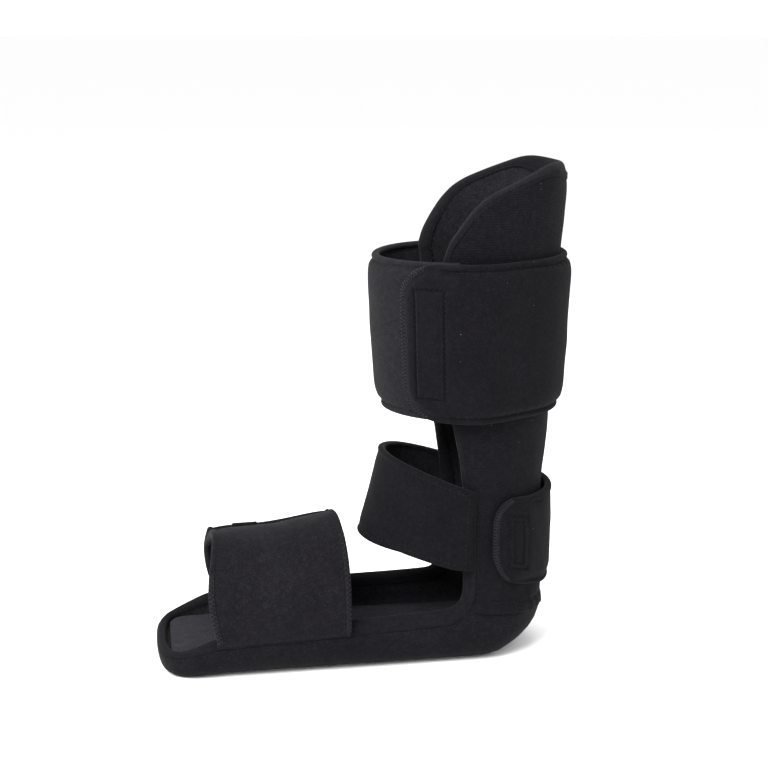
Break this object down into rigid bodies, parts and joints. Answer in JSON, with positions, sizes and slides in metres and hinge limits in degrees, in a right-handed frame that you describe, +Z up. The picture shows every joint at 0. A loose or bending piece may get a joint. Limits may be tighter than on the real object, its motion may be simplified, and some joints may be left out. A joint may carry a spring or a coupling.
{
  "type": "ankle foot orthosis",
  "caption": "Soft L-shaped ankle foot orthosis: padded trough on a bent aluminium stay, with calf wrap, ankle strap, forefoot wrap and insole",
  "frame": {"origin": "on the resting face of the sole, in the middle plane, under the leg", "axes": "+Z up the leg, -X towards the toe, Y across the foot"},
  "size_m": [0.2676, 0.1188, 0.317],
  "materials": {
    "loop_fabric": "brushed loop laminate, soft, matt",
    "edge_fabric": "stretch binding fabric, matt",
    "edging_thread": "overlocked thread edging",
    "lining_fabric": "brushed skin side lining",
    "foam": "open cell foam",
    "insole_foam": "grey brushed foam insole",
    "hook_fastener": "moulded nylon hooks",
    "aluminium": "rolled strip, satin"
  },
  "bodies": {
    "trough": {"support_splint": "aluminium", "leg_cover": "loop_fabric", "foot_cover": "loop_fabric", "leg_foam": "foam", "foot_foam": "foam", "leg_lining": "lining_fabric", "foot_lining": "lining_fabric", "edge_band": "edge_fabric", "calf_wrap_back": "loop_fabric", "calf_wrap_back_lining": "lining_fabric", "ankle_strap_anchor": "loop_fabric"},
    "insole_pad": {"insole": "insole_foam"},
    "calf_outer": {"calf_outer_flap": "loop_fabric", "calf_outer_flap_edging": "edging_thread", "calf_outer_flap_lining": "lining_fabric", "calf_hook_patch": "hook_fastener"},
    "calf_inner": {"calf_inner_flap": "loop_fabric", "calf_inner_flap_lining": "lining_fabric"},
    "ankle_front": {"ankle_front_strap": "loop_fabric", "ankle_front_lining": "lining_fabric"},
    "ankle_tab": {"ankle_rear_tab": "loop_fabric", "ankle_rear_tab_lining": "lining_fabric", "ankle_rear_tab_edging": "edging_thread", "ankle_hook_patch": "hook_fastener"},
    "forefoot_near": {"forefoot_near_panel": "loop_fabric", "forefoot_near_lining": "lining_fabric"},
    "forefoot_far": {"forefoot_far_panel": "loop_fabric", "forefoot_far_lining": "lining_fabric", "forefoot_hook_patch": "hook_fastener", "forefoot_pull_tab": "loop_fabric"}
  },
  "joints": [
    {"name": "calf_outer_peel", "type": "hinge", "parent": "trough", "child": "calf_outer", "pos_m": [0.02951, -0.04718, 0.2115], "axis": [0.0203, -0.0263, 0.9994], "range_deg": [0, 100]},
    {"name": "calf_inner_open", "type": "hinge", "parent": "trough", "child": "calf_inner", "pos_m": [-0.01144, 0.0535, 0.2115], "axis": [0.0137, -0.0296, -0.9995], "range_deg": [0, 60]},
    {"name": "ankle_tab_peel", "type": "hinge", "parent": "ankle_front", "child": "ankle_tab", "pos_m": [0.002, 0.0514, 0.08842], "axis": [0, 0, 1], "range_deg": [0, 75]},
    {"name": "ankle_strap_swing", "type": "hinge", "parent": "trough", "child": "ankle_front", "pos_m": [-0.00618, -0.05103, 0.09079], "axis": [0.0304, 0.0001, 0.9995], "range_deg": [0, 16]},
    {"name": "forefoot_far_open", "type": "hinge", "parent": "trough", "child": "forefoot_far", "pos_m": [-0.12775, 0.04914, 0.02471], "axis": [-1, 0, -0.0095], "range_deg": [0, 85]},
    {"name": "forefoot_near_open", "type": "hinge", "parent": "trough", "child": "forefoot_near", "pos_m": [-0.12775, -0.04914, 0.02495], "axis": [1, 0, 0.0095], "range_deg": [0, 68]},
    {"name": "insole_lift", "type": "slide", "parent": "trough", "child": "insole_pad", "axis": [0, 0, 1], "range_m": [0, 0.02]}
  ],
  "couplings": [
    {"joint": "calf_inner_open", "follows": "calf_outer_peel", "ratio": 0.6},
    {"joint": "ankle_strap_swing", "follows": "ankle_tab_peel", "ratio": 0.2},
    {"joint": "forefoot_near_open", "follows": "forefoot_far_open", "ratio": 0.8}
  ]
}
